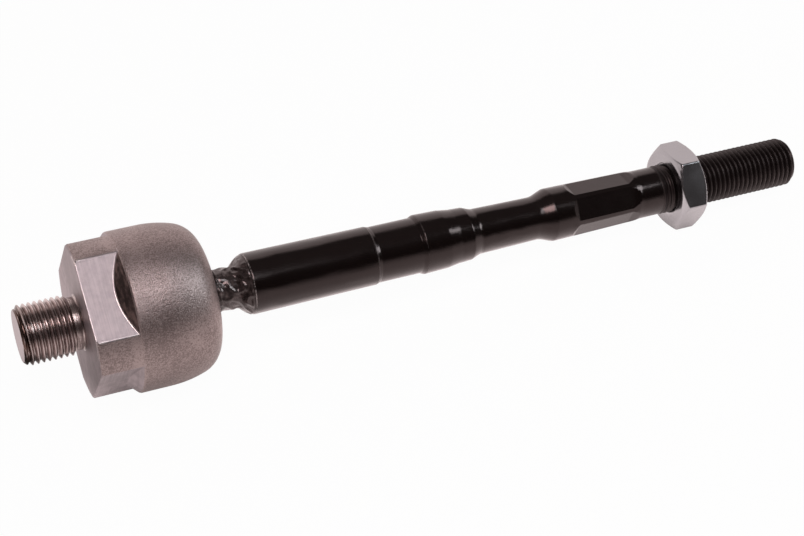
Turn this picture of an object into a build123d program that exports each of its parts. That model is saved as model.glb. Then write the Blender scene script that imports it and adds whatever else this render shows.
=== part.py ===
"""Inner tie rod: a ball housing with a threaded stud, a forged rod and its lock nut.

Lengths are millimetres. The origin is the centre of the ball. +X runs along the rod
towards the outer thread, +Z is up, and the stud points along -X.
"""

import os
from math import acos, asin, cos, degrees, radians, sin, sqrt, tan

from build123d import *

# Ball joint
ball_r = 14.0
ball_flat_r = 3.0
running_gap = 0.1
shell_wall = 1.8
shell_back = 12.5
shell_slots = 6
slot_width = 1.6
slot_back = 3.0
swing_limit = 25.0
lip_margin = 2.2
shell_margin = 5.0

# Ball housing
body_r = 21.5
front_face = 23.3
wrench_r = 21.2
wrench_af = 36.0
wrench_length = 8.0
wrench_turn = 50.0
front_chamfer = 0.6
mouth_curve_r = 30.0
mouth_curve_turn = 17.9
lip_wall = 1.2
floor_gap = 0.4
reservoir_r = 7.0
reservoir_depth = 2.4

# Rack stud, M16 x 1.5
stud_r = 8.0
stud_length = 15.9
stud_chamfer = 1.1
relief_r = 7.0
relief_length = 2.1
relief_fillet = 0.5

# Rod: radii
neck_r = 5.42
neck_fillet = 1.5
barrel_r1 = 8.33
barrel_r2 = 8.10
groove_r = 7.76
collar_r1 = 8.32
collar_r2 = 8.12
land_r1 = 7.60
land_r2 = 7.42
slim_r1 = 6.40
slim_r2 = 6.06
grip_r1 = 7.54
grip_r2 = 7.12
shank_r1 = 6.90
shank_r2 = 6.86

# Rod: lengths, from the ball towards the outer end
neck_end = 18.5
cone_length = 3.8
barrel_length = 34.9
step_length = 1.1
groove_length = 12.2
collar_step = 1.2
collar_length = 6.9
land_slope = 3.6
land_length = 3.7
slim_shoulder = 2.7
slim_length = 18.6
flare_length = 4.0
grip_length = 25.8
grip_runout = 1.6
shank_length = 6.2

# Rod: how far each corner of the forging is rounded
neck_round = 1.5
barrel_round = 1.0
step_round = 0.5
groove_round = 0.3
collar_round = 5.0
land_round1 = 6.0
land_round2 = 1.8
slim_round1 = 3.0
slim_round2 = 6.0
grip_round = 2.5
runout_round = 8.0

# Hex on the grip: across flats, and where its flats begin and end
hex_af1 = 13.5
hex_af2 = 12.9
hex_start = 6.8
hex_length = 17.1
hex_ramp1 = 25.6
hex_ramp2 = 11.3
hex_ramp_length = 8.0

# Outer thread, M14 x 1.5
thread_r = 7.0
thread_pitch_r = 6.51
thread_lead = 0.3
thread_length = 43.7
thread_chamfer = 1.0
thread_chamfer_length = 1.3

# Lock nut, thin M14
nut_af = 22.0
nut_height = 8.0
nut_place = 3.75
nut_gap = 0.05
nut_side_gap = 0.3
nut_face_r = 10.45
nut_chamfer_angle = 30.0
nut_mouth_r = 7.5

# How far a cutting shape reaches past what it cuts
overcut = 3.0

# Sizes that follow from those above. At the swing limit the neck still clears the lip and the shell.
shell_in_r = ball_r + running_gap
shell_out_r = shell_in_r + shell_wall
cavity_r = shell_out_r + running_gap
lip_angle = degrees(asin(neck_r / cavity_r)) + swing_limit + lip_margin
lip_x = cavity_r * cos(radians(lip_angle))
lip_r = cavity_r * sin(radians(lip_angle))
lip_out_r = lip_r + lip_wall
shell_angle = degrees(asin(neck_r / shell_in_r)) + swing_limit + shell_margin
shell_mouth = shell_in_r * cos(radians(shell_angle))
curve_turn = radians(mouth_curve_turn)
mouth_end_r = (body_r - lip_out_r - mouth_curve_r * (1 - cos(curve_turn))) / cos(curve_turn)
curve_start = lip_x - mouth_end_r * (1 - sin(curve_turn)) - mouth_curve_r * sin(curve_turn)
stud_root = -front_face
stud_end = stud_root - stud_length


def lengthwise(turn):
    """The plane whose local x is the rod's axis and whose local y points out, turned about +X."""
    a = radians(turn)
    return Plane(origin=(0, 0, 0), x_dir=(1, 0, 0), z_dir=(0, -cos(a), -sin(a)))


def up_from_minus_y(angle):
    """The turn about +X that brings +Z to this many degrees above -Y."""
    return 90.0 - angle


# Wrench flats: what is cut away round a square prism, up to a 45 degree conical shoulder
flat = wrench_af / 2
clear_r = body_r + overcut
shoulder = stud_root + wrench_length
with BuildPart() as wrench_waste:
    with BuildSketch(Plane.XY):
        Polygon(
            (stud_root - overcut, 0),
            (shoulder, 0),
            (shoulder, flat),
            (shoulder + clear_r - flat, clear_r),
            (stud_root - overcut, clear_r),
            align=None,
        )
    revolve(axis=Axis.X)
    with BuildSketch(Plane.YZ.offset(stud_root - 2 * overcut)):
        Rectangle(wrench_af, wrench_af, rotation=up_from_minus_y(wrench_turn))
    extrude(amount=clear_r + wrench_length + 2 * overcut, mode=Mode.SUBTRACT)

# Ball housing: stud, wrench section, body and the mouth that is swaged over the shell
bore_floor = -(shell_back + floor_gap)
with BuildPart() as ball_housing:
    with BuildSketch(Plane.XY):
        with BuildLine():
            front = Polyline(
                (stud_end, 0),
                (stud_end, stud_r - stud_chamfer),
                (stud_end + stud_chamfer, stud_r),
                (stud_root - relief_length, stud_r),
                (stud_root - relief_length, relief_r),
                (stud_root, relief_r),
                (stud_root, wrench_r - front_chamfer),
                (stud_root + front_chamfer, wrench_r),
                (shoulder + wrench_r - flat, wrench_r),
                (shoulder + body_r - flat, body_r),
                (curve_start, body_r),
            )
            curve = JernArc(front @ 1, (1, 0), mouth_curve_r, -mouth_curve_turn)
            lip = JernArc(curve @ 1, curve % 1, mouth_end_r, mouth_curve_turn - 90)
            Line(lip @ 1, (lip_x, lip_r))
            dome = CenterArc((0, 0), cavity_r, lip_angle, 90 - lip_angle)
            Polyline(
                dome @ 1,
                (bore_floor, cavity_r),
                (bore_floor, reservoir_r),
                (bore_floor - reservoir_depth, 0),
                front @ 0,
            )
        make_face()
    revolve(axis=Axis.X)
    relief = ball_housing.edges().filter_by(GeomType.CIRCLE)
    relief = relief.filter_by(lambda e: abs(e.radius - relief_r) < 0.01)
    fillet(relief.filter_by_position(Axis.X, stud_root - 0.01, stud_root + 0.01), relief_fillet)
    add(wrench_waste.part, mode=Mode.SUBTRACT)

# Bearing shell: a plastic cup round the ball, slotted from its mouth so that it opens over the ball
with BuildPart() as bearing_shell:
    with BuildSketch(Plane.XY):
        with BuildLine():
            back_r = sqrt(shell_in_r**2 - shell_back**2)
            front_in_r = sqrt(shell_in_r**2 - shell_mouth**2)
            front_out_r = sqrt(shell_out_r**2 - shell_mouth**2)
            ThreePointArc((-shell_back, back_r), (0, shell_in_r), (shell_mouth, front_in_r))
            Line((shell_mouth, front_in_r), (shell_mouth, front_out_r))
            mouth_angle = degrees(acos(shell_mouth / shell_out_r))
            CenterArc((0, 0), shell_out_r, mouth_angle, 90 - mouth_angle)
            Polyline((0, shell_out_r), (-shell_back, shell_out_r), (-shell_back, back_r))
        make_face()
    revolve(axis=Axis.X)
    for slot in range(shell_slots):
        with BuildSketch(lengthwise(360 * slot / shell_slots)):
            with Locations((-slot_back, 0)):
                Rectangle(shell_mouth + slot_back, shell_out_r + overcut, align=(Align.MIN, Align.MIN))
        extrude(amount=slot_width / 2, both=True, mode=Mode.SUBTRACT)

# Rod stations, and the nut's two faces
barrel_start = neck_end + cone_length
barrel_end = barrel_start + barrel_length
groove_start = barrel_end + step_length
groove_end = groove_start + groove_length
collar_start = groove_end + collar_step
collar_end = collar_start + collar_length
land_start = collar_end + land_slope
land_end = land_start + land_length
slim_start = land_end + slim_shoulder
slim_end = slim_start + slim_length
grip_start = slim_end + flare_length
grip_end = grip_start + grip_length
shank_start = grip_end + grip_runout
shank_end = shank_start + shank_length
thread_start = shank_end + thread_lead
thread_end = thread_start + thread_length
nut_near = thread_start + nut_place
nut_far = nut_near + nut_height

# Each point of the rod's outline with the rounding of that corner
rod_outline = [
    ((neck_end, neck_r), neck_round),
    ((barrel_start, barrel_r1), barrel_round),
    ((barrel_end, barrel_r2), step_round),
    ((groove_start, groove_r), groove_round),
    ((groove_end, groove_r), groove_round),
    ((collar_start, collar_r1), step_round),
    ((collar_end, collar_r2), collar_round),
    ((land_start, land_r1), land_round1),
    ((land_end, land_r2), land_round2),
    ((slim_start, slim_r1), slim_round1),
    ((slim_end, slim_r2), slim_round2),
    ((grip_start, grip_r1), grip_round),
    ((grip_end, grip_r2), runout_round),
    ((shank_start, shank_r1), runout_round),
    ((shank_end, shank_r2), 0.0),
    ((thread_start, thread_r), 0.0),
    ((nut_near - nut_side_gap, thread_r), 0.0),
    ((nut_near - nut_side_gap, thread_pitch_r), 0.0),
    ((nut_far + nut_side_gap, thread_pitch_r), 0.0),
    ((nut_far + nut_side_gap, thread_r), 0.0),
    ((thread_end - thread_chamfer_length, thread_r), 0.0),
    ((thread_end, thread_r - thread_chamfer), 0.0),
]

# Tie rod: ball, neck, barrel, boot groove and collar, slim length, hex grip and outer thread
flat_x = sqrt(ball_r**2 - ball_flat_r**2)
neck_x = sqrt(ball_r**2 - neck_r**2)
with BuildPart() as tie_rod:
    with BuildSketch(Plane.XY):
        with BuildLine():
            ball = ThreePointArc((-flat_x, ball_flat_r), (0, ball_r), (neck_x, neck_r))
            outline = FilletPolyline(
                ball @ 1,
                *[point for point, rounding in rod_outline],
                (thread_end, 0),
                radius=[rounding for point, rounding in rod_outline],
            )
            Polyline(outline @ 1, (-flat_x, 0), ball @ 0)
        make_face()
    revolve(axis=Axis.X)
    neck_edges = tie_rod.edges().filter_by(GeomType.CIRCLE)
    fillet(neck_edges.filter_by_position(Axis.X, neck_x - 0.01, neck_x + 0.01), neck_fillet)

    # Each flat has a ramp at both ends, and the six of them narrow with the forging's taper
    near_x = grip_start + hex_start
    far_x = near_x + hex_length
    ramp_start = near_x - hex_ramp_length
    ramp_end = far_x + hex_ramp_length
    for side in range(6):
        with BuildSketch(lengthwise(60 * side)):
            Polygon(
                (ramp_start, hex_af1 / 2 + hex_ramp_length * tan(radians(hex_ramp1))),
                (near_x, hex_af1 / 2),
                (far_x, hex_af2 / 2),
                (ramp_end, hex_af2 / 2 + hex_ramp_length * tan(radians(hex_ramp2))),
                (ramp_end, grip_r1 + overcut),
                (ramp_start, grip_r1 + overcut),
                align=None,
            )
        extrude(amount=grip_r1, both=True, mode=Mode.SUBTRACT)

# Lock nut: a hexagon with both faces chamfered and its bore opened at each end
nut_bore_r = thread_pitch_r + nut_gap
nut_corner_r = nut_af / 2 / cos(radians(30))
chamfer_slope = tan(radians(nut_chamfer_angle))
corner_drop = (nut_corner_r - nut_face_r) * chamfer_slope
mouth_drop = (nut_mouth_r - nut_bore_r) * chamfer_slope
with BuildPart() as lock_nut:
    with BuildSketch(Plane.XY):
        Polygon(
            (nut_near, nut_mouth_r),
            (nut_near, nut_face_r),
            (nut_near + corner_drop, nut_corner_r),
            (nut_far - corner_drop, nut_corner_r),
            (nut_far, nut_face_r),
            (nut_far, nut_mouth_r),
            (nut_far - mouth_drop, nut_bore_r),
            (nut_near + mouth_drop, nut_bore_r),
            align=None,
        )
    revolve(axis=Axis.X)
    with BuildSketch(Plane.YZ.offset(nut_near)):
        RegularPolygon(nut_af / 2, 6, major_radius=False)
    extrude(amount=nut_height, mode=Mode.INTERSECT)

os.makedirs("parts", exist_ok=True)
pieces = {
    "ball_housing": ball_housing,
    "bearing_shell": bearing_shell,
    "tie_rod": tie_rod,
    "lock_nut": lock_nut,
}
for name, piece in pieces.items():
    piece.part.label = name
    export_step(piece.part, f"parts/{name}.step")
    print(name, len(piece.part.solids()), round(piece.part.volume, 1))
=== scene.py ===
"""Dresses an inner tie rod: its threads, forged, milled, black and plated finishes, grease and studio.

Lengths are in metres. +X runs along the rod from the ball at the origin, and +Z is up.
"""

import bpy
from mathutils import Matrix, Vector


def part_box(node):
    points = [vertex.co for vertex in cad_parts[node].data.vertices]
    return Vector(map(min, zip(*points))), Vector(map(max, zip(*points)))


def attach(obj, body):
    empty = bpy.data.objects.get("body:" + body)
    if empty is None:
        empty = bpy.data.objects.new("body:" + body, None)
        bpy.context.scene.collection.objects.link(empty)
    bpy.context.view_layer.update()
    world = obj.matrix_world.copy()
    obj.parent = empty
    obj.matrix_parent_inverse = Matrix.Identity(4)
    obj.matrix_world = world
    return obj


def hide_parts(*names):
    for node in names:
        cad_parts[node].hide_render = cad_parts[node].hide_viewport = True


bl_info = {
    "name": "Inner Tie Rod",
    "version": (1, 0, 0),
    "blender": (4, 5, 0),
    "location": "View3D > Sidebar > Tie Rod",
    "description": "Dresses an inner tie rod with its threads, finishes, grease and studio",
    "category": "Object",
}

from math import acos, atan2, ceil, copysign, cos, hypot, pi, radians, sin, tan

import bmesh
import bpy
from bpy.props import FloatProperty, FloatVectorProperty, IntProperty, PointerProperty
from mathutils import Matrix, Vector, noise
from mathutils.bvhtree import BVHTree

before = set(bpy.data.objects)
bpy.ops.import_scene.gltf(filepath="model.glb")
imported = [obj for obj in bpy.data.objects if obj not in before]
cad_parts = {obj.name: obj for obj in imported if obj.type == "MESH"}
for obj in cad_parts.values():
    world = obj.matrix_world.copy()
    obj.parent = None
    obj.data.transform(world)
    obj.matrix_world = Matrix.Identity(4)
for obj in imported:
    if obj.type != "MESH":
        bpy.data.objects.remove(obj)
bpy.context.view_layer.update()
HOUSING_LOW, HOUSING_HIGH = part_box("ball_housing")
ROD_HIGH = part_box("tie_rod")[1]
NUT_LOW, NUT_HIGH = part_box("lock_nut")
MM = 0.001
AXIS = Vector((1, 0, 0))

# Points nearer than MERGE are joined, and places nearer than CLOSE count as the same.
MERGE = 0.002 * MM
CLOSE = 0.01 * MM

# The gap between the stud's relief and its thread, which a ring of faces closes.
SEAM = 0.02 * MM

# The wrench flats and their shoulder end well before this place.
FLATS_END = HOUSING_HIGH.x - 10 * MM

# The grip's flats and ramps lie between these places.
GRIP_LOW = 109 * MM
GRIP_HIGH = 139 * MM

# The housing's materials, in their order on the piece.
FORGED, MILLED, ROLLED, DARK_SHOULDER, PAINTED_HIGHLIGHT = range(5)


def size(name, description, default):
    """A length that a user may change."""
    return FloatProperty(name=name, description=description, default=default, unit="LENGTH", precision=5)


def turn(name, description, degrees):
    """An angle that a user may change."""
    return FloatProperty(name=name, description=description, default=radians(degrees), subtype="ANGLE")


def share(name, description, default):
    """A number from 0 to 1 that a user may change."""
    return FloatProperty(
        name=name, description=description, default=default, min=0.0, max=1.0, subtype="FACTOR"
    )


def watts(name, description, default):
    """A lamp's power that a user may change."""
    return FloatProperty(name=name, description=description, default=default)


def colour(name, description, default):
    """A colour that a user may change."""
    return FloatVectorProperty(
        name=name, description=description, default=default, min=0.0, max=1.0, size=3, subtype="COLOR"
    )


class TieRodHousing(bpy.types.PropertyGroup):
    """The ball housing's turned outline and its four wrench flats."""

    flat: size("Flat", "From the axis to a wrench flat", 18.0 * MM)
    flat_turn: turn("Flat turn", "From +Y up to the way that the upper far flat faces", 40.0)
    wrench: size("Wrench radius", "Radius of the round corners between the flats", 21.2 * MM)
    wrench_length: size("Wrench length", "From the front face to the shoulder of the flats", 8.0 * MM)
    chamfer: size("Chamfer", "Rounding of those corners at the front face", 0.8 * MM)
    curve: size("Curve", "Radius of the body's slow curve", 30.0 * MM)
    curve_turn: turn("Curve turn", "How far that curve turns in", 17.9)
    lip_wall: size("Lip wall", "Width of the mouth's flat rim", 1.2 * MM)
    lip_r: size("Lip radius", "Inside radius of the mouth", 11.7 * MM)
    cavity: size("Cavity radius", "Radius of the cavity round the bearing shell", 16.0 * MM)
    bore_floor: size("Bore floor", "From the ball's centre back to the cavity's floor", 12.9 * MM)
    reservoir: size("Reservoir radius", "Radius of the drill point in the floor", 7.0 * MM)
    reservoir_depth: size("Reservoir depth", "Depth of that drill point", 2.4 * MM)
    fillet: size("Fillet", "Rounding between the stud's relief and the face", 0.5 * MM)
    steps: IntProperty(name="Steps", description="Facets round the housing", default=144, min=48)


class TieRodThreads(bpy.types.PropertyGroup):
    """The two metric threads."""

    pitch: size("Pitch", "Advance of both threads in one turn", 1.5 * MM)
    stud_crest: size("Stud crest radius", "Outside radius of the rack stud's thread", 8.0 * MM)
    stud_root: size("Stud root radius", "Radius at the bottom of the rack stud's thread", 7.08 * MM)
    stud_end: size("Stud end radius", "Radius of the stud's flat end, inside its chamfer", 6.9 * MM)
    relief: size("Relief radius", "Radius of the undercut between stud and housing", 7.0 * MM)
    relief_length: size("Relief length", "Length of that undercut", 2.1 * MM)
    stud_length: size("Stud length", "From the housing's face to the stud's end", 15.9 * MM)
    rod_crest: size("Rod crest radius", "Outside radius of the rod's thread", 7.0 * MM)
    rod_root: size("Rod root radius", "Radius at the bottom of the rod's thread", 6.08 * MM)
    rod_end: size("Rod end radius", "Radius of the rod's flat end, inside its chamfer", 6.0 * MM)
    rod_chamfer: size("Rod chamfer", "Length of the chamfer at the rod's end", 1.3 * MM)
    rod_length: size("Rod thread length", "Length of the rod's thread", 43.7 * MM)
    shank: size("Shank radius", "Radius of the shank where the rod's thread runs out", 6.88 * MM)
    runout: size("Run-out", "Length over which the thread's roots come up to the shank", 4.2 * MM)
    nut_core: size("Engaged radius", "Radius of the stretch hidden in the nut", 6.51 * MM)
    nut_entry: size("Nut entry", "How far the full thread reaches into the nut's opened mouth", 0.25 * MM)
    steps: IntProperty(name="Steps", description="Facets round one turn", default=96, min=24)


class TieRodEdges(bpy.types.PropertyGroup):
    """How far sharp edges are rounded."""

    housing: size("Housing", "Rounding of the housing's sharp edges", 0.27 * MM)
    grip: size("Grip", "Rounding of the long sides of the grip's flats", 0.22 * MM)
    nut: size("Nut", "Rounding of the lock nut's edges", 0.34 * MM)


class TieRodFinishes(bpy.types.PropertyGroup):
    """Colours of the surfaces, and the places where a finish changes."""

    forged_dark: colour("Forged, dark", "Darker patches of the forged steel", (0.250, 0.203, 0.195))
    forged_light: colour("Forged, light", "Lighter patches of the forged steel", (0.45, 0.372, 0.360))
    # The dark colour of the shoulder behind the near flat; only that shoulder has it.
    scale: colour("Scale", "Dark scale left on the shoulder of the flats", (0.050, 0.035, 0.032))
    milled: colour("Milled", "Wrench flats and front face", (0.50, 0.441, 0.455))
    # Colour of the painted highlight on the near flat's edges.
    painted_edge_highlight: colour("Burnished", "Bright places on the near flat's edges", (0.78, 0.71, 0.68))
    rolled: colour("Rolled thread", "The rack stud's bright thread", (0.66, 0.575, 0.560))
    # Also makes the thread's roots darker brown.
    stain: colour("Stain", "Brown stain on the first turns and in the roots", (0.12, 0.078, 0.066))
    black: colour("Black coat", "The rod's coat", (0.0030, 0.0015, 0.0013))
    worn: colour("Worn crest", "Where the coat is thin on crests and edges", (0.030, 0.023, 0.022))
    # Also the colour of the painted highlight in the rings at three edges.
    bare: colour("Bare edge", "Steel showing where an edge has lost its coat", (0.38, 0.34, 0.33))
    plate: colour("Plate", "The lock nut's zinc plate", (0.45, 0.448, 0.464))
    grease: colour("Grease", "Joint grease on the neck", (0.026, 0.0195, 0.0185))
    acetal: colour("Shell", "The plastic bearing shell", (0.72, 0.70, 0.64))
    # The rings at these three edges are partly bare steel, partly a painted highlight.
    barrel_edge: size("Barrel edge", "Where the barrel's cone ends in a bare edge", 22.3 * MM)
    step_edge: size("Step edge", "Where the barrel ends in a step with a thin coat", 57.25 * MM)
    collar_edge: size("Collar edge", "Where the collar begins, with a thin coat", 71.6 * MM)
    grip_start: size("Grip start", "Where the grip begins", 111.2 * MM)
    grip_end: size("Grip end", "Where its flats end", 136.0 * MM)
    grip_radius: size("Grip radius", "Radius of the grip's round surface at its start", 7.54 * MM)
    grip_taper: share("Grip taper", "How much that radius falls for each length along the grip", 0.0163)
    # The band is smoother, and its colour a little lighter as a painted highlight.
    smooth_highlight_band: size("Ground band", "Middle of the smoother band before the housing's body", -13.1 * MM)


class TieRodGrease(bpy.types.PropertyGroup):
    """The smear on the neck."""

    start: size("Start", "Where the smear begins, inside the mouth", 12.9 * MM)
    end: size("End", "Where it ends, at the barrel's edge", 22.0 * MM)
    thin: size("Thin", "Least thickness", 0.06 * MM)
    thick: size("Thick", "Greatest thickness of a ridge", 0.46 * MM)
    wrinkle: size("Wrinkle", "Distance between two wrinkles", 3.0 * MM)
    fade: size("Fade", "Length over which each end sinks into the neck", 0.5 * MM)
    sunk: size("Sunk", "How deep the ends sink", 0.05 * MM)
    rows: IntProperty(name="Rows", description="Rows of faces along the neck", default=110, min=10)
    steps: IntProperty(name="Steps", description="Facets round the neck", default=160, min=24)


class TieRodStudio(bpy.types.PropertyGroup):
    """Camera, lamps and backdrop."""

    azimuth: turn("Azimuth", "Camera's turn about +Z from looking along +Y", -22.64)
    elevation: turn("Elevation", "Camera's height above the horizon", 34.05)
    distance: size("Distance", "From the camera to the rod, along its line of sight", 0.4982)
    lens: FloatProperty(name="Lens", description="Focal length in millimetres", default=81.49)
    aim: size("Aim", "The point of the rod's axis that stands over the picture's centre", 0.067)
    drop: size("Drop", "How far below that point the camera looks", 5.39 * MM)
    key: watts("Key", "Power of the softbox on the left, in watts", 1.9)
    fill: watts("Fill", "Power of the softbox on the right, in watts", 1.8)
    top: watts("Top", "Power of the softbox above the housing, in watts", 1.0)
    reach: size("Reach", "From each softbox to the point that it lights", 0.85)
    wall: share("Wall", "Brightness of the wall and floor in reflections", 1.0)
    wall_top: turn("Wall top", "How far up the white wall behind the rod reaches", 57.0)
    gloom: share("Gloom", "Brightness of the dark side of the studio", 0.055)
    # Reach of the painted shade near the object on the floor.
    near: size("Near", "How close to the object the floor grows darker in reflections", 60.0 * MM)
    # Strength of the painted shadow under the stud on the floor.
    shade: share("Shade", "How much darker the floor is under the stud", 0.60)
    tint: colour("Tint", "Colour of the wall and floor in reflections", (1.0, 0.88, 0.87))
    warm: colour("Warm", "Colour of the left softbox", (1.0, 0.80, 0.80))
    cool: colour("Cool", "Colour of the other softboxes", (0.90, 0.96, 1.0))


class Wire:
    """An output socket, which Python arithmetic extends with Math nodes."""

    def __init__(self, tree, output):
        self.tree = tree
        self.output = output

    def maths(self, operation, *values):
        return self.tree.add("ShaderNodeMath", {"operation": operation}, dict(enumerate(values)))

    def __add__(self, other):
        return self.maths("ADD", self, other)

    def __radd__(self, other):
        return self.maths("ADD", other, self)

    def __sub__(self, other):
        return self.maths("SUBTRACT", self, other)

    def __rsub__(self, other):
        return self.maths("SUBTRACT", other, self)

    def __mul__(self, other):
        return self.maths("MULTIPLY", self, other)

    def __rmul__(self, other):
        return self.maths("MULTIPLY", other, self)

    def __rtruediv__(self, other):
        return self.maths("DIVIDE", other, self)

    def __pow__(self, other):
        return self.maths("POWER", self, other)

    def __abs__(self):
        return self.maths("ABSOLUTE", self)

    def most(self, other):
        """The greater of two values."""
        return self.maths("MAXIMUM", self, other)

    def above(self, level, soft):
        """0 below the level and 1 above it, with a step as soft as the second value."""
        return self.tree.add(
            "ShaderNodeMapRange",
            {"interpolation_type": "SMOOTHSTEP"},
            {"Value": self, "From Min": level - soft, "From Max": level + soft},
        )

    def below(self, level, soft):
        """1 below the level and 0 above it."""
        return 1.0 - self.above(level, soft)

    def near(self, middle, reach, soft):
        """1 within the reach of the middle and 0 further off."""
        return abs(self - middle).below(reach, soft)


class Tree:
    """A node tree, and the one method that adds nodes to it."""

    def __init__(self, tree):
        self.tree = tree
        tree.nodes.clear()

    def add(self, kind, settings=None, inputs=None, output=0):
        """Adds a node, makes its settings, fills or links its sockets, and gives one output back."""
        node = self.tree.nodes.new(kind)
        for key, value in (settings or {}).items():
            setattr(node, key, value)
        for key, value in (inputs or {}).items():
            if isinstance(value, Wire):
                self.tree.links.new(value.output, node.inputs[key])
            elif hasattr(value, "__len__") and len(value) == 3 and node.inputs[key].type == "RGBA":
                node.inputs[key].default_value = (*value, 1.0)
            else:
                node.inputs[key].default_value = value
        return Wire(self, node.outputs[output]) if node.outputs else None

    def axes(self, vector):
        """The three parts of a vector."""
        first = self.add("ShaderNodeSeparateXYZ", {}, {"Vector": vector})
        return [Wire(self, socket) for socket in first.output.node.outputs]

    def ray(self, kind):
        """1 for light paths of one kind, such as those to the camera."""
        return self.add("ShaderNodeLightPath", output=f"Is {kind} Ray")

    def mix(self, factor, first, second):
        """A colour between two others."""
        return self.add(
            "ShaderNodeMix",
            {"data_type": "RGBA"},
            {0: factor, 6: first, 7: second},
            output=2,
        )


class Finish(Tree):
    """A surface material, with its patterns on the piece's own coordinates in metres."""

    def __init__(self, name):
        self.material = bpy.data.materials.new(name)
        self.material.use_nodes = True
        super().__init__(self.material.node_tree)
        self.place = self.add("ShaderNodeTexCoord", output="Object")

    def along_and_out(self):
        """How far along the rod's axis a point lies, and how far out from it."""
        along, across, up = self.axes(self.place)
        return along, (across * across + up * up) ** 0.5

    def noise(self, scale, detail, roughness):
        """Cloudy noise, with one scale or, for streaks, with a scale along each axis."""
        place = self.place
        if isinstance(scale, tuple):
            place = self.add("ShaderNodeMapping", {}, {"Vector": place, "Scale": scale})
            scale = 1.0
        inputs = {"Vector": place, "Scale": scale, "Detail": detail, "Roughness": roughness}
        return self.add("ShaderNodeTexNoise", {}, inputs)

    def bump(self, height, depth):
        """A normal from a height between 0 and 1, as deep as the given length."""
        return self.add("ShaderNodeBump", {}, {"Height": height, "Distance": depth, "Strength": 1.0})

    def surface(self, **sockets):
        """Ends the material in one surface shader, with socket names written with underscores."""
        inputs = {key.replace("_", " "): value for key, value in sockets.items()}
        shader = self.add("ShaderNodeBsdfPrincipled", {}, inputs)
        self.add("ShaderNodeOutputMaterial", {}, {"Surface": shader})
        return self.material


def shaded(tint, times):
    """A colour made darker, or lighter with a number above 1."""
    return tuple(times * part for part in tint)


def forged_steel(look):
    """Bare forged steel with a fine blasted grain, faint patches, and a smoother band at the body's edge
    whose colour is lightened as a painted highlight.
    """
    finish = Finish("forged_steel")
    along, _ = finish.along_and_out()
    grain = finish.noise(scale=2900.0, detail=2.0, roughness=0.55)
    coarse = finish.noise(scale=1300.0, detail=3.0, roughness=0.6)
    patches = finish.noise(scale=90.0, detail=3.0, roughness=0.6)
    smooth_band_highlight = along.near(look.smooth_highlight_band, reach=1.4 * MM, soft=0.4 * MM)
    # The smoother band also lightens the colour a little: a painted highlight.
    tone = 0.50 * grain + 0.24 * coarse + 0.26 * patches + 0.05 * smooth_band_highlight
    height = (0.65 * grain + 0.35 * coarse) * (1.0 - 0.7 * smooth_band_highlight)
    return finish.surface(
        Base_Color=finish.mix(tone.above(0.5, soft=0.095), look.forged_dark, look.forged_light),
        Metallic=1.0,
        Roughness=0.38 + 0.14 * patches,
        Normal=finish.bump(height, 0.15 * MM),
    )


def dark_shoulder_steel(look):
    """The shoulder behind the near flat, in a dark streaked colour; the other shoulders are milled."""
    finish = Finish("dark_shoulder_steel")
    streaks = finish.noise(scale=(900.0, 260.0, 260.0), detail=4.0, roughness=0.65)
    light = shaded(look.scale, 4.5)
    return finish.surface(
        Base_Color=finish.mix(streaks.above(0.53, soft=0.14), look.scale, light),
        Metallic=0.7,
        Roughness=0.42 + 0.14 * streaks,
        Normal=finish.bump(streaks, 0.10 * MM),
    )


def milled_steel(look):
    """Machined faces: the cutter's fine lines across the rod's axis."""
    finish = Finish("milled_steel")
    lines = finish.noise(scale=(2300.0, 80.0, 80.0), detail=3.0, roughness=0.65)
    patches = finish.noise(scale=380.0, detail=4.0, roughness=0.6)
    tone = (0.45 * lines + 0.55 * patches).above(0.5, soft=0.14)
    return finish.surface(
        Base_Color=finish.mix(tone, shaded(look.milled, 0.70), look.milled),
        Metallic=1.0,
        Roughness=0.42 + 0.20 * patches,
        Normal=finish.bump(lines, 0.030 * MM),
    )


def painted_highlight_edge(look):
    """The near flat's edges: a painted highlight in patches, with the milled colour in between."""
    finish = Finish("painted_highlight_edge")
    patches = finish.noise(scale=260.0, detail=3.0, roughness=0.6)
    return finish.surface(
        Base_Color=finish.mix(patches.above(0.52, soft=0.14), look.milled, look.painted_edge_highlight),
        Metallic=1.0,
        Roughness=0.36,
    )


def rolled_steel(look):
    """The rack stud's bright rolled thread, with brown stain on its first turns and darker brown in its
    roots.
    """
    finish = Finish("rolled_steel")
    along, radius = finish.along_and_out()
    grain = finish.noise(scale=(3500.0, 400.0, 400.0), detail=3.0, roughness=0.6)
    first = along.below(HOUSING_LOW.x + 1.9 * MM, soft=1.3 * MM)
    # The roots are made darker brown.
    root = radius.below(7.55 * MM, soft=0.35 * MM)
    end = radius.below(6.8 * MM, soft=0.15 * MM)
    stain_and_darker_roots = (0.80 * first + 0.70 * root) * grain.above(0.40, soft=0.2)
    thread = finish.mix(stain_and_darker_roots, look.rolled, look.stain)
    return finish.surface(
        Base_Color=finish.mix(end, thread, shaded(look.milled, 0.86)),
        Metallic=1.0,
        Roughness=0.18 + 0.14 * grain + 0.10 * end,
        Normal=finish.bump(grain, 0.012 * MM),
    )


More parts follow.
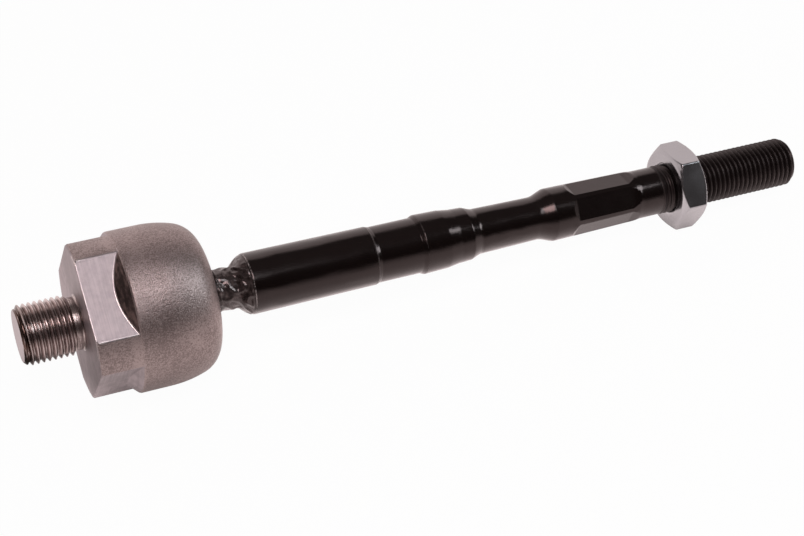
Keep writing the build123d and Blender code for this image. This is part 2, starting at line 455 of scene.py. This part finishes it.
def black_coat(look):
    """Gloss black coat over a forged surface, thin on the thread's crests, with light rings at three edges
    that are partly bare steel and partly a painted highlight.
    """
    finish = Finish("black_coat")
    along, radius = finish.along_and_out()
    skin = finish.noise(scale=260.0, detail=3.0, roughness=0.55)
    dust = finish.noise(scale=2400.0, detail=3.0, roughness=0.6)
    on_thread = along.above(ROD_HIGH.x - 43.9 * MM, soft=0.2 * MM)
    crest = radius.above(6.88 * MM, soft=0.08 * MM) * on_thread
    thin = finish.mix(0.25 * crest * skin.above(0.45, soft=0.2), look.black, look.worn)
    # Light rings at three edges: partly bare steel, partly a painted highlight.
    wear_and_highlight_rings = sum(
        ring_weight * along.near(edge, reach=0.16 * MM, soft=0.08 * MM)
        for edge, ring_weight in ((look.barrel_edge, 0.9), (look.step_edge, 0.18), (look.collar_edge, 0.10))
    )
    spots = (0.5 * dust + 0.5 * skin).above(0.48, soft=0.10)
    past_start = along.above(look.grip_start + 1.0 * MM, soft=0.3 * MM)
    on_grip = past_start * along.below(look.grip_end, soft=0.3 * MM)
    sunk = look.grip_radius - look.grip_taper * (along - look.grip_start) - radius
    pressed = on_grip * sunk.above(0.06 * MM, soft=0.03 * MM)
    at_step = along.near(look.step_edge, reach=0.40 * MM, soft=0.15 * MM)
    return finish.surface(
        Base_Color=finish.mix(wear_and_highlight_rings * spots, thin, look.bare),
        Metallic=0.0,
        Roughness=0.11 + 0.10 * skin + 0.28 * on_thread + 0.08 * pressed + 0.12 * at_step,
        IOR=1.8,
        Specular_Tint=(0.52, 0.43, 0.42, 1.0),
        Normal=finish.bump(0.6 * skin + 0.4 * dust, 0.05 * MM),
    )


def zinc_plate(look):
    """Satin zinc plate with a fine grain."""
    finish = Finish("zinc_plate")
    grain = finish.noise(scale=1800.0, detail=3.0, roughness=0.6)
    patches = finish.noise(scale=160.0, detail=3.0, roughness=0.55)
    return finish.surface(
        Base_Color=finish.mix(patches, shaded(look.plate, 0.86), look.plate),
        Metallic=1.0,
        Roughness=0.14 + 0.14 * patches,
        Normal=finish.bump(grain, 0.014 * MM),
    )


def joint_grease(look):
    """Dark wet grease."""
    finish = Finish("joint_grease")
    streaks = finish.noise(scale=700.0, detail=3.0, roughness=0.5)
    return finish.surface(
        Base_Color=finish.mix(streaks.above(0.6, soft=0.1), look.grease, shaded(look.grease, 3.0)),
        Roughness=0.12 + 0.14 * streaks,
        IOR=1.7,
        Specular_Tint=(0.92, 0.80, 0.79, 1.0),
        Normal=finish.bump(streaks, 0.08 * MM),
    )


def acetal(look):
    """The bearing shell's plastic, wet with grease."""
    finish = Finish("acetal")
    film = finish.noise(scale=300.0, detail=3.0, roughness=0.6)
    return finish.surface(
        Base_Color=finish.mix(film.above(0.5, soft=0.15), look.acetal, look.grease),
        Roughness=0.25 + 0.20 * film,
    )


def merged_copy(node):
    """A bmesh of a frame node whose loose triangles are joined, with one face for each flat."""
    bm = bmesh.new()
    bm.from_mesh(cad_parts[node].data)
    bmesh.ops.remove_doubles(bm, verts=bm.verts, dist=MERGE)
    bmesh.ops.dissolve_limit(bm, angle_limit=radians(0.02), verts=bm.verts, edges=bm.edges)
    return bm


def bend(edge):
    """How far the two faces at an edge turn, or 0 at a rim."""
    return edge.calc_face_angle(0.0) if len(edge.link_faces) == 2 else 0.0


def bent_edges(bm, least):
    """The edges at which two faces turn by more than an angle."""
    return [edge for edge in bm.edges if bend(edge) > least]


def round_edges(bm, edges, width, segments=2):
    """Bevels the edges, and gives back the faces that this makes."""
    made = bmesh.ops.bevel(
        bm,
        geom=edges,
        offset=width,
        affect="EDGES",
        segments=segments,
        profile=0.5,
        material=-1,
        clamp_overlap=False,
    )
    return made["faces"]


def cut_off(bm, place, towards):
    """Removes what lies beyond a plane across the axis, towards +1 or -1 along it."""
    bmesh.ops.bisect_plane(
        bm,
        geom=bm.verts[:] + bm.edges[:] + bm.faces[:],
        dist=0.0001 * MM,
        plane_co=(place, 0, 0),
        plane_no=(towards, 0, 0),
        clear_outer=True,
    )


def rim(bm, place):
    """The open edges that lie in a plane across the axis."""
    return [
        edge
        for edge in bm.edges
        if edge.is_boundary and all(abs(vert.co.x - place) < 2 * MERGE for vert in edge.verts)
    ]


def add_thread(bm, start, end, crest, root, pitch, steps, limits):
    """Adds a right-hand thread, as a zigzag line that is spun one turn while it moves on one pitch.

    limits gives the least and greatest radius at a place along the axis, for chamfers and run-outs.
    """
    flank = (crest - root) * tan(radians(30))
    half_crest = pitch / 16
    middle = (crest + root) / 2
    soft = 0.03 * MM
    tooth = [
        (-half_crest, crest - soft),
        (0.0, crest),
        (half_crest, crest - soft),
        (half_crest + flank / 2, middle),
        (half_crest + flank, root + soft),
        (pitch / 2, root),
        (pitch - half_crest - flank, root + soft),
        (pitch - half_crest - flank / 2, middle),
    ]
    added = bmesh.new()
    line = []
    for number in range(-2, ceil((end - start) / pitch) + 1):
        for along, radius in tooth:
            line.append(added.verts.new((start + number * pitch + along, 0, radius)))
    for first, second in zip(line, line[1:]):
        added.edges.new((first, second))
    bmesh.ops.spin(
        added,
        geom=added.verts[:] + added.edges[:],
        cent=(0, 0, 0),
        axis=AXIS,
        dvec=(pitch / steps, 0, 0),
        angle=2 * pi,
        steps=steps,
        use_merge=False,
    )
    bmesh.ops.remove_doubles(added, verts=added.verts, dist=MERGE)
    for vert in added.verts:
        radius = hypot(vert.co.y, vert.co.z)
        least, most = limits(vert.co.x)
        scale = min(max(radius, least), most) / radius
        vert.co.y *= scale
        vert.co.z *= scale
    cut_off(added, start, -1)
    cut_off(added, end, 1)
    mesh = bpy.data.meshes.new("thread")
    added.to_mesh(mesh)
    added.free()
    before = set(bm.faces)
    bm.from_mesh(mesh)
    bpy.data.meshes.remove(mesh)
    return [part for part in bm.faces if part not in before]


def make_piece(name, bm, materials, body, crease=28.0):
    """Turns a bmesh into a smooth piece that rides on a body, with edges past the crease left sharp."""
    bmesh.ops.recalc_face_normals(bm, faces=bm.faces)
    for part in bm.faces:
        part.smooth = True
    for edge in bm.edges:
        edge.smooth = edge.smooth and bend(edge) < radians(crease)
    mesh = bpy.data.meshes.new(name)
    bm.to_mesh(mesh)
    bm.free()
    for material in materials:
        mesh.materials.append(material)
    piece = bpy.data.objects.new(name, mesh)
    bpy.context.scene.collection.objects.link(piece)
    weighted = piece.modifiers.new("weighted", "WEIGHTED_NORMAL")
    weighted.keep_sharp = True
    weighted.weight = 50
    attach(piece, body)
    return piece


class TIEROD_OT_housing(bpy.types.Operator):
    """Make the ball housing: forged body, milled flats and the threaded rack stud"""

    bl_idname = "tierod.housing"
    bl_label = "Ball Housing"

    def execute(self, context):
        shape = context.scene.tie_rod_housing
        sizes = context.scene.tie_rod_threads
        look = context.scene.tie_rod_finishes
        end = HOUSING_LOW.x
        face = end + sizes.stud_length
        relief = face - sizes.relief_length
        shoulder = face + shape.wrench_length
        bm = bmesh.new()
        self.spin(bm, shape, self.outline(shape, sizes, face, relief, shoulder))
        self.flatten(bm, shape, face, shoulder)
        bmesh.ops.remove_doubles(bm, verts=bm.verts, dist=0.03 * MM)
        for part in bm.faces:
            part.material_index = self.material_of(part, shape, face)
        corners = [edge for edge in bm.edges if self.is_corner(edge, shape, face)]
        round_edges(bm, corners, shape.chamfer, segments=4)
        sharp = bent_edges(bm, radians(20))
        strips = round_edges(bm, sharp, context.scene.tie_rod_edges.housing, segments=3)
        # Edge strips beside the near flat get a painted highlight; those beside the other cuts stay milled.
        for part in [part for part in strips if self.beside_cut(part)]:
            near = self.by_near_flat(part.calc_center_median())
            part.material_index = PAINTED_HIGHLIGHT if near else MILLED
        self.thread(bm, sizes, end, relief)
        finishes = (forged_steel, milled_steel, rolled_steel, dark_shoulder_steel, painted_highlight_edge)
        materials = [finish(look) for finish in finishes]
        piece = make_piece("housing_forging", bm, materials, "housing")
        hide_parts("ball_housing")
        return {"FINISHED"}

    @staticmethod
    def arc(middle, radius, first, last, count):
        """Points of an arc round a middle, from one angle to another."""
        turns = [first + (last - first) * number / count for number in range(count + 1)]
        return [(middle[0] + radius * cos(angle), middle[1] + radius * sin(angle)) for angle in turns]

    def outline(self, shape, sizes, face, relief, shoulder):
        """Places along the axis and radii, from the relief over the body and back inside to the axis."""
        body = HOUSING_HIGH.y
        mouth = HOUSING_HIGH.x
        lip_out = shape.lip_r + shape.lip_wall
        rest = body - lip_out - shape.curve * (1 - cos(shape.curve_turn))
        mouth_curve = rest / cos(shape.curve_turn)
        curve_start = mouth - mouth_curve * (1 - sin(shape.curve_turn)) - shape.curve * sin(shape.curve_turn)
        lip_angle = atan2(shape.lip_r, mouth)
        corner = (shoulder + shape.wrench - shape.flat, shape.wrench)
        slow = self.arc(
            (curve_start, body - shape.curve), shape.curve, pi / 2, pi / 2 - shape.curve_turn, 10
        )
        quick = self.arc(
            (mouth - mouth_curve, lip_out), mouth_curve, pi / 2 - shape.curve_turn, 0.0, 16
        )
        dome = self.arc((0.0, 0.0), shape.cavity, lip_angle, pi / 2, 12)
        root = self.arc(
            (face - shape.fillet, sizes.relief + shape.fillet), shape.fillet, -pi / 2, 0.0, 3
        )
        return [
            (relief + SEAM, sizes.relief),
            *root,
            (face, shape.wrench),
            (corner[0] - CLOSE, corner[1]),
            corner,
            (shoulder + body - shape.flat, body),
            *slow,
            *quick[1:],
            *dome,
            (-shape.bore_floor, shape.cavity),
            (-shape.bore_floor, shape.reservoir),
            (-shape.bore_floor - shape.reservoir_depth, 0.0),
        ]

    @staticmethod
    def spin(bm, shape, outline):
        """Turns the outline once round the axis, from the middle of a flat."""
        out = (cos(shape.flat_turn), sin(shape.flat_turn))
        line = [bm.verts.new((along, radius * out[0], radius * out[1])) for along, radius in outline]
        for first, second in zip(line, line[1:]):
            bm.edges.new((first, second))
        bmesh.ops.spin(
            bm,
            geom=bm.verts[:] + bm.edges[:],
            cent=(0, 0, 0),
            axis=AXIS,
            angle=2 * pi,
            steps=shape.steps,
            use_merge=True,
        )

    @staticmethod
    def flatten(bm, shape, face, shoulder):
        """Moves the wrench section's surface in to the four flats, up to a conical shoulder."""
        side = acos(shape.flat / shape.wrench)
        step = 2 * pi / shape.steps
        cone = shoulder + shape.wrench - shape.flat
        margin = 1 * MM
        for vert in bm.verts:
            radius = hypot(vert.co.y, vert.co.z)
            if radius < shape.flat + margin or vert.co.x > FLATS_END:
                continue
            angle = atan2(vert.co.z, vert.co.y)
            # off is the turn from the middle of the nearest flat, and corners move onto the flat's sides.
            off = (angle - shape.flat_turn + pi / 4) % (pi / 2) - pi / 4
            near = angle - off
            if abs(abs(off) - side) < step / 2:
                off = copysign(side, off)
            reach = shape.flat / cos(off)
            if vert.co.x < cone - CLOSE / 2 and reach < radius:
                if vert.co.x > face + margin:
                    vert.co.x = shoulder + reach - shape.flat
                radius = reach
            vert.co.y = radius * cos(near + off)
            vert.co.z = radius * sin(near + off)

    @staticmethod
    def is_corner(edge, shape, face):
        """Whether an edge is on the front face's round corners."""
        return all(
            abs(vert.co.x - face) < CLOSE and hypot(vert.co.y, vert.co.z) > shape.wrench - CLOSE
            for vert in edge.verts
        )

    @staticmethod
    def by_near_flat(point):
        """Whether a point is in the quarter of the housing that holds the upper near flat."""
        return point.y < 0 < point.z

    def material_of(self, part, shape, face):
        """A face's material, from its place and the way it faces."""
        middle = part.calc_center_median()
        if middle.x < face - CLOSE:
            return ROLLED
        part.normal_update()
        out = middle.yz.length
        lean = abs(part.normal.x)
        conical = abs(lean - sin(pi / 4)) < 0.03
        if conical and middle.x < FLATS_END and out < shape.wrench - 2 * CLOSE:
            if middle.x > face + 1 * MM and out > shape.flat:
                # Only the shoulder behind the near flat gets the dark colour.
                return DARK_SHOULDER if self.by_near_flat(middle) else MILLED
            return FORGED
        on_flat = lean < 0.01 and abs(abs(middle.dot(part.normal)) - shape.flat) < 5 * CLOSE
        return MILLED if on_flat or middle.x < face + CLOSE else FORGED

    @staticmethod
    def beside_cut(part):
        """Whether a strip of a rounded edge lies beside a milled face or the flats' shoulder."""
        beside = (other for edge in part.edges for other in edge.link_faces)
        return any(other.material_index in (MILLED, DARK_SHOULDER) for other in beside)

    @staticmethod
    def thread(bm, sizes, end, relief):
        """Adds the stud's thread and joins it to the relief."""

        def limits(along):
            chamfer = sizes.stud_end + (along - end)
            neck = sizes.relief + (relief - along)
            return 0.0, min(sizes.stud_crest, chamfer, neck)

        threaded = add_thread(
            bm, end, relief, sizes.stud_crest, sizes.stud_root, sizes.pitch, sizes.steps, limits
        )
        joined = bmesh.ops.bridge_loops(bm, edges=rim(bm, relief) + rim(bm, relief + SEAM))
        cap = bmesh.ops.edgeloop_fill(bm, edges=rim(bm, end))
        for part in threaded + joined["faces"] + cap["faces"]:
            part.material_index = ROLLED


class TIEROD_OT_rod(bpy.types.Operator):
    """Make the rod: its black forging and the outer thread"""

    bl_idname = "tierod.rod"
    bl_label = "Tie Rod"

    def execute(self, context):
        sizes = context.scene.tie_rod_threads
        look = context.scene.tie_rod_finishes
        end = ROD_HIGH.x
        start = end - sizes.rod_length
        shank_end = start - 0.31 * MM
        bm = merged_copy("tie_rod")
        cut_off(bm, shank_end, 1)
        long_sides = [edge for edge in bm.edges if self.is_long_side(edge)]
        round_edges(bm, long_sides, context.scene.tie_rod_edges.grip)
        for edge in bm.edges:
            edge.smooth = not self.bounds_flat(edge)

        def limits(along):
            taper = (sizes.rod_crest - sizes.rod_end) / sizes.rod_chamfer
            chamfer = sizes.rod_end + (end - along) * taper
            lead = sizes.shank + (along - start)
            most = min(sizes.rod_crest, chamfer, lead)
            if NUT_LOW.x + sizes.nut_entry < along < NUT_HIGH.x - sizes.nut_entry:
                most = min(most, sizes.nut_core)
            fade = max(0.0, 1.0 - (along - start) / sizes.runout)
            least = sizes.rod_root + (sizes.shank + 2 * CLOSE - sizes.rod_root) * fade
            return least if fade else 0.0, most

        add_thread(bm, start, end, sizes.rod_crest, sizes.rod_root, sizes.pitch, sizes.steps, limits)
        bmesh.ops.bridge_loops(bm, edges=rim(bm, start) + rim(bm, shank_end))
        bmesh.ops.edgeloop_fill(bm, edges=rim(bm, end))
        piece = make_piece("rod_forging", bm, [black_coat(look)], "rod", crease=24.0)
        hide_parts("tie_rod")
        return {"FINISHED"}

    @staticmethod
    def on_grip(edge):
        """Whether an edge lies on the grip, with its two faces bent."""
        return GRIP_LOW < edge.verts[0].co.x < GRIP_HIGH and bend(edge) > radians(6)

    def is_long_side(self, edge):
        """Whether an edge is a long side of one of the grip's flats."""
        first, last = (vert.co.x for vert in edge.verts)
        return self.on_grip(edge) and abs(first - last) > 10 * MM

    def bounds_flat(self, edge):
        """Whether an edge bounds one of the grip's six flats or their ramps, which are large faces."""
        return self.on_grip(edge) and any(part.calc_area() > 4 * MM * MM for part in edge.link_faces)


class TIEROD_OT_grease(bpy.types.Operator):
    """Smear the neck between the mouth and the barrel with wrinkled joint grease"""

    bl_idname = "tierod.grease"
    bl_label = "Grease"

    def execute(self, context):
        smear = context.scene.tie_rod_grease
        look = context.scene.tie_rod_finishes
        rod = merged_copy("tie_rod")
        solid = BVHTree.FromBMesh(rod)
        rod.free()
        bm = bmesh.new()
        line = [bm.verts.new((place, 0, 1 * MM)) for place in (smear.start, smear.end)]
        edge = bm.edges.new(line)
        bmesh.ops.subdivide_edges(bm, edges=[edge], cuts=smear.rows)
        bmesh.ops.spin(
            bm,
            geom=bm.verts[:] + bm.edges[:],
            cent=(0, 0, 0),
            axis=AXIS,
            angle=2 * pi,
            steps=smear.steps,
            use_merge=True,
        )
        for vert in bm.verts:
            out = Vector((0, vert.co.y, vert.co.z)).normalized()
            foot = solid.ray_cast(Vector((vert.co.x, 0, 0)), out)[0]
            vert.co = foot + self.thickness(smear, foot) * out
        make_piece("neck_grease", bm, [joint_grease(look)], "rod", crease=180.0)
        return {"FINISHED"}

    @staticmethod
    def thickness(smear, point):
        """How thick the grease lies at a point of the neck: in slanting ridges, sunk at both ends."""
        slant = 0.45
        steepness = 3.2
        crumbs = 2.6
        spot = Vector((point.x + slant * point.z, point.y, point.z)) / smear.wrinkle
        ridge = 1 - abs(noise.noise(spot)) * steepness
        crumb = noise.noise(spot * crumbs) * 0.22
        fullness = min(max(0.30 + 0.70 * ridge + crumb, 0.0), 1.0)
        height = smear.thin + (smear.thick - smear.thin) * fullness
        shown = min(1.0, min(point.x - smear.start, smear.end - point.x) / smear.fade)
        return height * shown - smear.sunk * (1 - shown)


class TIEROD_OT_nut(bpy.types.Operator):
    """Make the lock nut, with its edges rounded by the plating drum"""

    bl_idname = "tierod.nut"
    bl_label = "Lock Nut"

    def execute(self, context):
        look = context.scene.tie_rod_finishes
        bm = merged_copy("lock_nut")
        round_edges(bm, bent_edges(bm, radians(18)), context.scene.tie_rod_edges.nut, segments=3)
        piece = make_piece("nut_body", bm, [zinc_plate(look)], "nut")
        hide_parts("lock_nut")
        return {"FINISHED"}


class TIEROD_OT_shell(bpy.types.Operator):
    """Give the bearing shell its plastic"""

    bl_idname = "tierod.shell"
    bl_label = "Bearing Shell"

    def execute(self, context):
        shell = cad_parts["bearing_shell"]
        shell.data.materials.clear()
        shell.data.materials.append(acetal(context.scene.tie_rod_finishes))
        return {"FINISHED"}


class TIEROD_OT_studio(bpy.types.Operator):
    """Set the camera, three softboxes, the pale floor the rod rests on and the studio's walls"""

    bl_idname = "tierod.studio"
    bl_label = "Studio"

    def execute(self, context):
        studio = context.scene.tie_rod_studio
        self.camera(context, studio)
        self.floor(context, studio)
        self.world(context, studio)
        self.softboxes(context, studio)
        context.scene.view_settings.view_transform = "Standard"
        return {"FINISHED"}

    @staticmethod
    def towards(azimuth, elevation):
        """The direction from the object to what looks at it from there."""
        flat = cos(elevation)
        return Vector((flat * sin(azimuth), -flat * cos(azimuth), sin(elevation)))

    def camera(self, context, studio):
        data = bpy.data.cameras.new("camera")
        data.lens = studio.lens
        data.sensor_width = 36.0
        data.sensor_fit = "HORIZONTAL"
        data.clip_start = 0.01
        data.clip_end = 20.0
        camera = bpy.data.objects.new("camera", data)
        back = self.towards(studio.azimuth, studio.elevation)
        right = Vector((cos(studio.azimuth), sin(studio.azimuth), 0))
        up = back.cross(right)
        place = Vector((studio.aim, 0, 0)) - studio.drop * up + studio.distance * back
        turned = Matrix((right, up, back)).transposed().to_4x4()
        camera.matrix_world = Matrix.Translation(place) @ turned
        context.scene.collection.objects.link(camera)
        context.scene.camera = camera

    def softboxes(self, context, studio):
        """Lights the rod from the left and from the right, and the wrench flats from above."""
        middle = Vector((0.06, 0, 0))
        flats = Vector((HOUSING_LOW.x + 20 * MM, 0, 0))
        # A name, the point it lights, azimuth and elevation, width and height, power and colour.
        lamps = (
            ("key", middle, (-26.0, 56.0), (0.16, 0.42), studio.key, studio.warm),
            ("fill", middle, (63.0, 36.0), (0.24, 0.34), studio.fill, studio.cool),
            ("top", flats, (13.0, 59.0), (0.18, 0.38), studio.top, studio.cool),
        )
        for name, aim, (azimuth, elevation), sides, power, tint in lamps:
            data = bpy.data.lights.new(name, "AREA")
            data.color = tint
            data.shape = "RECTANGLE"
            data.size, data.size_y = sides
            data.energy = power
            lamp = bpy.data.objects.new(name, data)
            back = self.towards(radians(azimuth), radians(elevation))
            lamp.location = aim + studio.reach * back
            lamp.rotation_euler = back.to_track_quat("Z", "Y").to_euler()
            context.scene.collection.objects.link(lamp)

    @staticmethod
    def resting_line():
        """The height under the ball and the slope of a floor that touches the housing and the nut."""
        housing = [vert.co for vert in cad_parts["ball_housing"].data.vertices]
        nut = [vert.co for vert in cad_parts["lock_nut"].data.vertices]
        slope = 0.0
        for _ in range(6):
            foot = min(housing, key=lambda point: point.z - slope * point.x)
            slope = min((point.z - foot.z) / (point.x - foot.x) for point in nut)
        return foot.z - slope * foot.x, slope

    def floor(self, context, studio):
        """A pale floor, white to the camera; in reflections it glows with painted light and shade."""
        height, slope = self.resting_line()
        bm = bmesh.new()
        bmesh.ops.create_grid(bm, x_segments=1, y_segments=1, size=3.0)
        for vert in bm.verts:
            vert.co.z = height + slope * vert.co.x
        mesh = bpy.data.meshes.new("floor")
        bm.to_mesh(mesh)
        bm.free()
        tree = Finish("pale_floor")
        camera = tree.ray("Camera")
        reflected = tree.ray("Glossy").most(tree.ray("Transmission"))
        shown = tree.mix(camera, studio.tint, (1.0, 1.0, 1.0))
        strength = self.glow(tree, studio, height) * (1.0 - camera) + camera
        matt = tree.add("ShaderNodeBsdfDiffuse", {}, {"Color": (0.9, 0.9, 0.9)})
        white = tree.add("ShaderNodeEmission", {}, {"Color": shown, "Strength": strength})
        both = tree.add("ShaderNodeMixShader", {}, {0: 0.97 * camera + reflected, 1: matt, 2: white})
        tree.add("ShaderNodeOutputMaterial", {}, {"Surface": both})
        mesh.materials.append(tree.material)
        floor = bpy.data.objects.new("floor", mesh)
        context.scene.collection.objects.link(floor)

    @staticmethod
    def glow(tree, studio, height):
        """The floor's painted light in reflections: brightest under the rod, painted shade round the stud.
        """
        along, across, _ = tree.axes(tree.place)
        drop_squared = (-0.8 * height) ** 2
        # The cosine of the turn from straight up at which a point of the floor sees the rod.
        upright = (drop_squared / (across * across + drop_squared)) ** 0.5
        # A painted pool of light on the floor round and behind the rod.
        painted_light_pool = upright.above(0.10, soft=0.25).most(across.above(20 * MM, soft=20 * MM))
        # Painted shade: the floor grows darker in reflections near the object.
        open_sky = tree.add(
            "ShaderNodeAmbientOcclusion", {"samples": 8}, {"Distance": studio.near}, output="AO"
        )
        # A painted shadow under the stud.
        stud_shadow_area = across.near(0.0, reach=18 * MM, soft=12 * MM)
        stud_shadow_area = stud_shadow_area * along.below(HOUSING_LOW.x + 11 * MM, soft=7 * MM)
        close = along.above(HOUSING_LOW.x - 38 * MM, soft=10 * MM)
        dark = stud_shadow_area * (studio.shade + 0.36 * close)
        # The upright term paints the floor brighter right under the rod.
        return painted_light_pool * open_sky * (1.0 - dark) * (studio.wall + 1.7 * upright**4.0)

    @staticmethod
    def world(context, studio):
        """White to the camera. Reflections show a white wall behind the rod and gloom elsewhere."""
        world = bpy.data.worlds.new("studio")
        context.scene.world = world
        world.use_nodes = True
        tree = Tree(world.node_tree)
        side, back, up = tree.axes(tree.add("ShaderNodeTexCoord", output="Generated"))
        wall = (back * tan(studio.wall_top) - up).above(0.15, soft=0.25) * side.below(0.84, soft=0.16)
        low = up.below(-0.10, soft=0.25)
        gloom = studio.gloom * (1.0 + 2.5 * up.most(0.0) ** 4.0)
        bright = (wall.most(low) * studio.wall).most(gloom)
        camera = tree.ray("Camera")
        shown = tree.mix(camera, studio.tint, (1.0, 1.0, 1.0))
        light = tree.add("ShaderNodeBackground", {}, {"Color": shown, "Strength": camera.most(bright)})
        tree.add("ShaderNodeOutputWorld", {}, {"Surface": light})


class TIEROD_PT_panel(bpy.types.Panel):
    """Lists the steps that dress the tie rod"""

    bl_label = "Tie Rod"
    bl_idname = "TIEROD_PT_panel"
    bl_space_type = "VIEW_3D"
    bl_region_type = "UI"
    bl_category = "Tie Rod"

    def draw(self, context):
        column = self.layout.column()
        for step in STEPS:
            column.operator(step.bl_idname)


SETTINGS = {
    "tie_rod_housing": TieRodHousing,
    "tie_rod_threads": TieRodThreads,
    "tie_rod_edges": TieRodEdges,
    "tie_rod_finishes": TieRodFinishes,
    "tie_rod_grease": TieRodGrease,
    "tie_rod_studio": TieRodStudio,
}
STEPS = [
    TIEROD_OT_housing,
    TIEROD_OT_rod,
    TIEROD_OT_grease,
    TIEROD_OT_nut,
    TIEROD_OT_shell,
    TIEROD_OT_studio,
]


def register():
    for group in SETTINGS.values():
        bpy.utils.register_class(group)
    for step in STEPS + [TIEROD_PT_panel]:
        bpy.utils.register_class(step)
    for name, group in SETTINGS.items():
        setattr(bpy.types.Scene, name, PointerProperty(type=group))


def unregister():
    for name in SETTINGS:
        delattr(bpy.types.Scene, name)
    for step in [TIEROD_PT_panel] + STEPS[::-1]:
        bpy.utils.unregister_class(step)
    for group in SETTINGS.values():
        bpy.utils.unregister_class(group)


def main():
    register()
    bpy.ops.tierod.housing()
    bpy.ops.tierod.rod()
    bpy.ops.tierod.grease()
    bpy.ops.tierod.nut()
    bpy.ops.tierod.shell()
    bpy.ops.tierod.studio()


if __name__ == "__main__":
    main()
